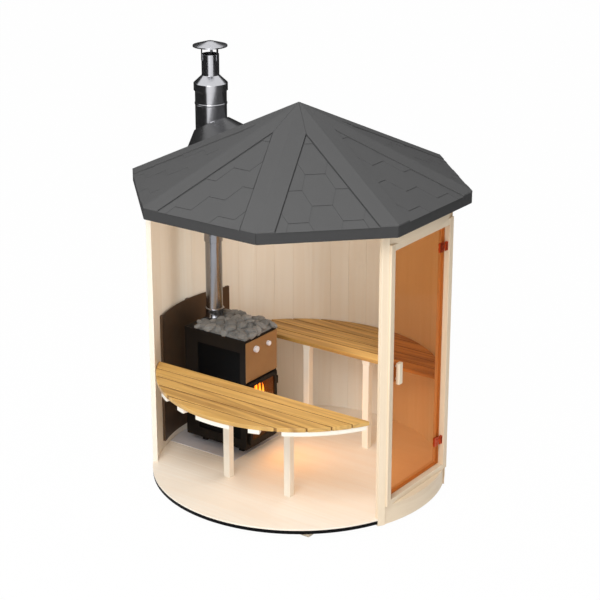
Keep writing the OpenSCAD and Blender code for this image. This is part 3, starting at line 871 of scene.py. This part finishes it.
# %% Door frame
eased("left_post", "door_post_left", 0.0015, spruce_upright, seed=1)
eased("right_post", "door_post_right", 0.0015, spruce_upright, seed=2)
eased("curved_skirt", "door_skirt", 0.002, spruce_across, seed=3)
eased("threshold", "door_sill", 0.001, spruce_across, seed=4)
eased("curved_lintel", "door_lintel", 0.0015, spruce_across, seed=5)
eased("frame_jambs", "door_jambs", 0.003, spruce_upright, seed=6)
eased("frame_rails", "door_rails", 0.003, spruce_across, seed=7)
eased("hinge_leaves", "hinge_plates", 0.0008, copper)

# %% Door leaf
eased("leaf_glass", "door_glass", 0.001, bronze_glass, "door")
eased("leaf_handle", "door_handle", 0.004, spruce_upright, "door", seed=8, segments=3)
eased("leaf_clamps", "door_clamps", 0.0012, copper, "door")

# %% [markdown]
# ## Benches
# The slats are the only darker wood. Each slat has its own tone, so the grain doesn't run on from one
# to the next. Their edges are well rounded, and their sides carry painted shade, a darker honey that
# makes the gaps read as gaps. Rails and legs are the pale wood of the wall.


# %% Benches
AISLE, BENCH_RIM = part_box("right_bench_slats")[0].x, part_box("right_bench_slats")[1].x
EDGE = 0.01


def in_a_slat_gap(centre, normal):
    """Whether a face is a slat's side, but not the bench's front or its round rim."""
    inside = AISLE + EDGE < abs(centre.x) and math.hypot(centre.x, centre.y) < BENCH_RIM - EDGE
    return inside and abs(normal.x) > 0.9


for side, seed in (("left", 31), ("right", 47)):
    seat = eased(f"{side}_seat", f"{side}_bench_slats", 0.004, bench_wood, seed=seed,
                 segments=3)
    # The slats' sides get painted shade: a darker honey where little light reaches the gaps.
    refinish(seat, painted_shade_slat_wood, in_a_slat_gap)
    eased(f"{side}_seat_rails", f"{side}_bench_rails", 0.002, spruce_inward, seed=seed + 1)
    eased(f"{side}_seat_legs", f"{side}_bench_legs", 0.003, spruce_stave, seed=seed + 2)

# %% [markdown]
# ## Stove and chimney
# Sheet-metal pieces are copies with crisp small rounds. The pipes are smooth-shaded between their
# seams, because a polished surface shows every facet. One piece can have several finishes: the
# casing's faces inside the firebox are brick, and the sunk fields in its sides are enamel.


# %% Stove and hearth
STOVE_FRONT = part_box("stove_panel")[1].y
FIRE_HALF, FIRE_LOW, FIRE_HIGH, FIRE_BACK = 0.1395, 0.196, 0.628, 0.816
FIELD_IN, FIELD_OUT = 0.168, 0.1715
STUD_FOOT = STOVE_FRONT - 0.0065


def in_the_firebox(centre, normal):
    return (abs(centre.x) < FIRE_HALF and STOVE_FRONT + 0.003 < centre.y < FIRE_BACK
            and FIRE_LOW < centre.z < FIRE_HIGH)


def in_a_field(centre, normal):
    return abs(normal.x) > 0.9 and FIELD_IN < abs(centre.x) < FIELD_OUT


casing = eased("stove_casing", "stove_body", 0.002, black_steel)
refinish(casing, firebrick, in_the_firebox)
refinish(casing, black_enamel, in_a_field)
panel = eased("stove_front_panel", "stove_panel", 0.0015, bronze_panel)
# The studs get the near-white grey sheet: a painted highlight, standing for the glint of polished steel
# heads.
refinish(panel, grey_sheet, lambda centre, normal: centre.y < STUD_FOOT)
eased("stove_legs", "stove_feet", 0.002, black_steel)
eased("fire_door_frame", "stove_door", 0.0015, black_steel, "fire_door")
eased("fire_door_pane", "stove_door_glass", 0.0008, fire_glass, "fire_door")
eased("wall_shield", "heat_shield", 0.0006, brown_sheet)
eased("hearth_plate", "floor_plate", 0.0008, grey_sheet)

# %% Chimney and smoke pipe
for name, node in (("insulated_chimney", "chimney_pipe"), ("chimney_shoulder", "chimney_cone"),
                   ("chimney_cap", "rain_cap")):
    eased(name, node, 0.0006, polished_steel)
smoke_pipe = soften(node_copy("smoke_pipe", "flue_pipe", flue_steel), 25)
settle(smoke_pipe, replaced=["flue_pipe"])

# %% [markdown]
# ## Stones
# The heap in the construction model is one lump. Real stones are broken rock the size of a fist, so a
# tree strews one rough stone over the lump's upper faces, turned and scaled at random from one seed.
# The lump stays underneath, with the stones' finish.


# %% Tree that strews stones
def strew_tree():
    tree, pen, wires = new_tree("strew", {
        "Stone": "Object", "Spacing": "Float", "Density": "Float", "Smallest": "Float",
        "Largest": "Float", "Seed": "Int", "Material": "Material"})
    points = pen.node("GeometryNodeDistributePointsOnFaces", {"distribute_method": "POISSON"}, {
        "Mesh": wires["Geometry"], "Distance Min": wires["Spacing"],
        "Density Max": wires["Density"], "Seed": wires["Seed"]})
    stone = pen.node("GeometryNodeObjectInfo", sockets={"Object": wires["Stone"]}, out="Geometry")
    turn = pen.node("FunctionNodeRandomValue", {"data_type": "FLOAT_VECTOR"},
                    {0: (-0.5, -0.5, 0), 1: (0.5, 0.5, 2 * math.pi), "Seed": wires["Seed"] + 1.0}, 0)
    size = pen.node("FunctionNodeRandomValue", {"data_type": "FLOAT"},
                    {2: wires["Smallest"], 3: wires["Largest"], "Seed": wires["Seed"] + 2.0}, 1)
    spin = pen.node("FunctionNodeEulerToRotation", sockets={0: turn})
    copies = pen.node("GeometryNodeInstanceOnPoints", sockets={
        "Points": points, "Instance": stone, "Rotation": spin, "Scale": size})
    close_tree(pen, copies, wires)
    return tree


strew = strew_tree()
print(strew.name)


# %% The heap of stones
def rough_stone(radius, seed):
    """A flattened ball with its points pulled in and out at random."""
    draw = random.Random(seed)
    bm = bmesh.new()
    bmesh.ops.create_icosphere(bm, subdivisions=2, radius=radius)
    for vert in bm.verts:
        vert.co *= draw.uniform(0.84, 1.12)
        vert.co.z *= 0.6
    return from_bmesh("stone_form", bm, stove_stone)


def upper_faces(name, node, above, facing):
    """The part of a node's surface that looks up and lies above a height."""
    def keep_upper(bm):
        gone = [f for f in bm.faces if f.normal.z < facing or f.calc_center_median().z < above]
        bmesh.ops.delete(bm, geom=gone, context="FACES")

    return rework(node_copy(name, node, stove_stone), keep_upper)


HEAP_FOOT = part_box("stove_body")[1].z + 0.016
stone_form = rough_stone(0.043, 12)
heap = grow(upper_faces("loose_stones", "stones", HEAP_FOOT, 0.1), strew, Stone=stone_form,
            Spacing=0.046, Density=3000.0, Smallest=0.65, Largest=1.2, Seed=7, Material=stove_stone)
bpy.data.objects.remove(stone_form)
settle(heap)
nodes["stones"].data.materials.clear()
nodes["stones"].data.materials.append(stove_stone)

# %% [markdown]
# ## Fire
# Behind the fire door lie logs on a bed of embers, with flames over them. A log is a rough round with
# pale ends. A flame is a leaf-shaped body that thins and sways as it rises.


# %% Embers and logs
FIRE_BED = FIRE_LOW + 0.0015
BED_WIDE, BED_DEEP, BED_Y = 0.25, 0.36, 0.545
SORT_WAY = Vector((1, 53, 0.37))
draw = random.Random(5)


def ember_bed():
    """A bumpy bed; solidify leaves its faces in any order, so they are sorted after it."""
    bm = bmesh.new()
    bmesh.ops.create_grid(bm, x_segments=10, y_segments=14, size=0.5,
                          matrix=Matrix.Diagonal((BED_WIDE, BED_DEEP, 1, 1)))
    for vert in bm.verts:
        vert.co += Vector((0, BED_Y, FIRE_BED + 0.004 + 0.022 * draw.random()))
    bmesh.ops.solidify(bm, geom=bm.faces[:], thickness=0.003)
    bm.verts.sort(key=lambda vert: vert.co.dot(SORT_WAY))
    bm.faces.sort(key=lambda face: face.calc_center_median().dot(SORT_WAY))
    return from_bmesh("embers", bm, ember_glow)


def log(start, end, radius):
    """A log between two points: a rough round with bark and two sawn ends."""
    axis = end - start
    side = axis.orthogonal().normalized()
    other = axis.cross(side).normalized()
    bm = bmesh.new()
    rings = []
    for i in range(7):
        centre = start + axis * i / 6
        rings.append([bm.verts.new(centre + (side * math.cos(a) + other * math.sin(a)) * radius
                                   * draw.uniform(0.9, 1.06)) for a in turns(12)])
    bridge(bm, rings)
    close_ends(bm, rings, 1)
    return from_bmesh("log", bm, firebrick, bearer_wood)


settle(ember_bed())
logs = [log(Vector((-0.075, 0.36, 0.25)), Vector((-0.06, 0.7, 0.25)), 0.036),
        log(Vector((0.07, 0.37, 0.252)), Vector((0.055, 0.72, 0.252)), 0.038),
        log(Vector((-0.085, 0.42, 0.315)), Vector((0.09, 0.47, 0.32)), 0.03)]
settle(soften(joined("logs", logs, firebrick, bearer_wood), 40))


# %% Flames
def flame(x, y, foot, tall, wide, phase):
    """A flame on a foot: rings that swell, thin out and sway, closed by a tip."""
    bm = bmesh.new()
    rings = []
    for i in range(10):
        rise = i / 10
        girth = wide * (0.35 + 1.9 * rise) * (1 - rise) ** 0.9
        sway = 0.35 * wide * math.sin(5 * rise + phase) * (0.3 + rise)
        rings.append([bm.verts.new((x + sway + girth * math.cos(a), y + 0.55 * girth * math.sin(a),
                                    foot + tall * rise)) for a in turns(8)])
    tip = bm.verts.new((x, y, foot + tall))
    bridge(bm, rings)
    for k in range(8):
        bm.faces.new((rings[-1][k], rings[-1][(k + 1) % 8], tip))
    bm.faces.new(rings[0][::-1])
    bmesh.ops.recalc_face_normals(bm, faces=bm.faces)
    return from_bmesh("flame", bm, flame_glow)


tongues = [flame(-0.11 + 0.22 * i / 8, 0.35 + 0.045 * (i % 3), 0.25 + 0.03 * (i % 2),
                 0.3 + 0.05 * draw.random(), 0.013 + 0.008 * draw.random(), 1.7 * i) for i in range(9)]
settle(soften(joined("flames", tongues, flame_glow), 60))

# %% [markdown]
# ## Screws
# One domed head with a socket serves every screw. A tree sets it on a list of points and turns it
# along the direction stored with each point, so the list is all that is given.


# %% Tree that sets heads on points
def fasten_tree():
    tree, pen, wires = new_tree("fasten", {"Head": "Object", "Seed": "Int", "Material": "Material"})
    head = pen.node("GeometryNodeObjectInfo", sockets={"Object": wires["Head"]}, out="Geometry")
    aim = pen.node("GeometryNodeInputNamedAttribute", {"data_type": "FLOAT_VECTOR"}, {"Name": "aim"})
    spin = pen.node("FunctionNodeAlignRotationToVector", {"axis": "Z"}, {"Vector": aim})
    copies = pen.node("GeometryNodeInstanceOnPoints", sockets={
        "Points": wires["Geometry"], "Instance": head, "Rotation": spin})
    close_tree(pen, copies, wires)
    return tree


fasten = fasten_tree()
print(fasten.name)


# %% Screw heads
def turned(profile, segments, material):
    """A small turned part about Z from (radius, height) points, closed at both ends."""
    bm = bmesh.new()
    rings = [[bm.verts.new(polar(r, a, z)) for a in turns(segments)] for r, z in profile]
    bridge(bm, rings)
    close_ends(bm, rings)
    return from_bmesh("turned", bm, material)


def screw_head(radius, height, material):
    return turned([(radius, 0), (radius, 0.35 * height), (0.8 * radius, 0.8 * height),
                   (0.42 * radius, height), (0.36 * radius, 0.35 * height)], 12, material)


def fastened(name, head, spots, material, body="sauna"):
    """Heads at (place, direction) spots, as one piece."""
    mesh = bpy.data.meshes.new(name)
    mesh.from_pydata([place for place, aim in spots], [], [])
    aims = mesh.attributes.new("aim", "FLOAT_VECTOR", "POINT")
    for value, (place, aim) in zip(aims.data, spots):
        value.vector = aim
    obj = grow(new_object(name, mesh), fasten, Head=head, Seed=1, Material=material)
    bpy.data.objects.remove(head)
    return settle(soften(obj), body)


print("head helpers ready")

# %% Screws of the shield and the hearth plate
SHIELD_FACE = 0.9502
SCREW_TALL = 0.003
shield_low, shield_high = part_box("heat_shield")
shield_spots = []
for angle in (70, 83, 97, 110):
    out = Vector(polar(1, math.radians(angle)))
    for z in (shield_low.z + 0.04, shield_high.z - 0.04):
        shield_spots.append((out * SHIELD_FACE + Vector((0, 0, z)), -out))
fastened("shield_screws", screw_head(0.006, SCREW_TALL, brown_sheet), shield_spots, brown_sheet)

plate_low, plate_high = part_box("floor_plate")
plate_spots = [(Vector((x, y, plate_high.z)), Vector((0, 0, 1)))
               for x in (plate_low.x + 0.02, plate_high.x - 0.02)
               for y in (plate_low.y + 0.02, plate_low.y + 0.24)]
fastened("plate_screws", screw_head(0.005, SCREW_TALL, grey_sheet), plate_spots, grey_sheet)

# %% Screws of the door's clamps
clamp_low, clamp_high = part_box("door_clamps")
CLAMP_X = 0.268
CLAMP_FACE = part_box("door_glass")[0].y - 0.013
clamp_spots = [(Vector((CLAMP_X, CLAMP_FACE, level + dz)), Vector((0, -1, 0)))
               for level in (clamp_low.z + 0.03, clamp_high.z - 0.03) for dz in (-0.015, 0.015)]
fastened("clamp_screws", screw_head(0.007, SCREW_TALL, copper), clamp_spots, copper, "door")

# %% [markdown]
# ## Camera
# The camera stands where the picture was taken from: about 12 m away, 20 degrees above the horizon,
# to the left of the door. Its lens comes from fitting the round floor and the eaves.

# %% Camera
AZIMUTH, ELEVATION, DISTANCE = math.radians(-54.45), math.radians(20.0125), 11.7061
AIM = Vector((0, 0, 1.3316))
camera = bpy.data.objects.new("camera", bpy.data.cameras.new("camera"))
bpy.context.scene.collection.objects.link(camera)
camera.data.lens = 106.02
camera.data.sensor_width = 36
camera.data.shift_x = 0.0018
camera.data.shift_y = -0.0152
back = Vector((math.sin(AZIMUTH) * math.cos(ELEVATION), -math.cos(AZIMUTH) * math.cos(ELEVATION),
               math.sin(ELEVATION)))
camera.location = AIM + back * DISTANCE
camera.rotation_euler = back.to_track_quat("Z", "Y").to_euler()
bpy.context.scene.camera = camera
print("camera at", [round(v, 3) for v in camera.location])

# %% [markdown]
# ## Light and ground
# Two large soft lamps stand before the open front, one high for the roof and one low for the inside,
# and the world fills in. A small warm lamp at the stove's door throws the fire's light on the floor,
# and a weak one inside lights the wall at the left, as pale wood throws light back. Seen directly, or
# in metal and glass, the world and the ground are white. A dark cloth round the set is seen only in
# gloss, and gives the steel its dark edges.


# %% Ground and world
def seen_plainly(pen):
    """1 where the camera, metal or glass looks, 0 for the light itself."""
    rays = [pen.node("ShaderNodeLightPath", out=key) for key in
            ("Is Camera Ray", "Is Glossy Ray", "Is Transmission Ray")]
    return pen.math("MINIMUM", rays[0] + rays[1] + rays[2], 1.0)


GROUND_SIZE, GROUND_Z, GROUND_WHITE = 40, -0.001, 0.985


def ground():
    bm = bmesh.new()
    bmesh.ops.create_grid(bm, x_segments=1, y_segments=1, size=GROUND_SIZE,
                          matrix=Matrix.Translation((0, 0, GROUND_Z)))
    material, pen = finish("ground", Roughness=1.0, Base_Color=(0.9, 0.9, 0.9, 1))[:2]
    white = pen.node("ShaderNodeEmission", sockets={"Color": (1, 1, 1, 1), "Strength": 1.0})
    shader = Wire(pen.tree, pen.tree.nodes["Principled BSDF"].outputs[0])
    mixed = pen.node("ShaderNodeMixShader", sockets={0: seen_plainly(pen) * GROUND_WHITE, 1: shader,
                                                     2: white})
    pen.feed(pen.tree.nodes["Material Output"].inputs["Surface"], mixed)
    return from_bmesh("ground", bm, material)


ground()
world = bpy.data.worlds.new("studio")
bpy.context.scene.world = world
world.use_nodes = True
pen = Wire(world.node_tree)
backdrop = world.node_tree.nodes["Background"]
FILL = 0.5
pen.feed(backdrop.inputs["Strength"], FILL + seen_plainly(pen) * (1 - FILL))
backdrop.inputs["Color"].default_value = (1, 1, 1, 1)
print("fill light", FILL)


# %% Lamp helpers
def lamp_at(name, place, aim, size, power, colour=(1, 1, 1)):
    """A round area lamp at one point that looks at another; only its light is seen."""
    lamp = bpy.data.lights.new(name, "AREA")
    lamp.shape = "DISK"
    lamp.size = size
    lamp.energy = power
    lamp.color = colour
    obj = bpy.data.objects.new(name, lamp)
    bpy.context.scene.collection.objects.link(obj)
    obj.location = place
    obj.rotation_euler = (Vector(place) - Vector(aim)).to_track_quat("Z", "Y").to_euler()
    obj.visible_camera = False
    return obj


LAMP_AWAY, LAMP_SIZE = 9, 5


def studio_lamp(name, angle, height, power):
    """A large lamp at an angle counted from +X and a height above the horizon, both in degrees."""
    turn, rise = math.radians(angle), math.radians(height)
    away = Vector((math.cos(turn) * math.cos(rise), math.sin(turn) * math.cos(rise), math.sin(rise)))
    return lamp_at(name, AIM + away * LAMP_AWAY, AIM, LAMP_SIZE, power)


print("lamp helpers ready")


# %% Dark cloth and lamps
def dark_curtain(opening, spread, radius, tall):
    """A dark cloth round the set, seen only in gloss, with a gap of spread degrees at opening."""
    bm = bmesh.new()
    steps = 48
    angles = [math.radians(opening + spread / 2 + (360 - spread) * i / steps) for i in range(steps + 1)]
    feet = [bm.verts.new(polar(radius, a, 0.02)) for a in angles]
    heads = [bm.verts.new(polar(radius, a, tall)) for a in angles]
    for i in range(steps):
        bm.faces.new((feet[i], feet[i + 1], heads[i + 1], heads[i]))
    material = finish("curtain", Roughness=1.0, Base_Color=(0.02, 0.02, 0.02, 1))[0]
    curtain = from_bmesh("curtain", bm, material)
    for kind in ("camera", "diffuse", "transmission", "volume_scatter", "shadow"):
        setattr(curtain, "visible_" + kind, False)
    return curtain


studio_lamp("high", angle=196, height=44, power=520)
studio_lamp("front", angle=206, height=15, power=120)
fire_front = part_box("stove_door")[0].y
FIRELIGHT = (1, 0.42, 0.1)
fire = lamp_at("fire", (0, fire_front - 0.03, 0.42), (0.15, -0.7, 0.1), size=0.22, power=1.5,
               colour=FIRELIGHT)
bounce = lamp_at("bounce", (0.5, -0.35, 1.35), (-0.9, 0.3, 1.2), size=0.9, power=6)
for lamp in (fire, bounce):
    lamp.visible_glossy = False
    lamp.visible_transmission = False
dark_curtain(opening=215, spread=70, radius=4.6, tall=5.5)
bpy.context.scene.view_settings.view_transform = "Standard"
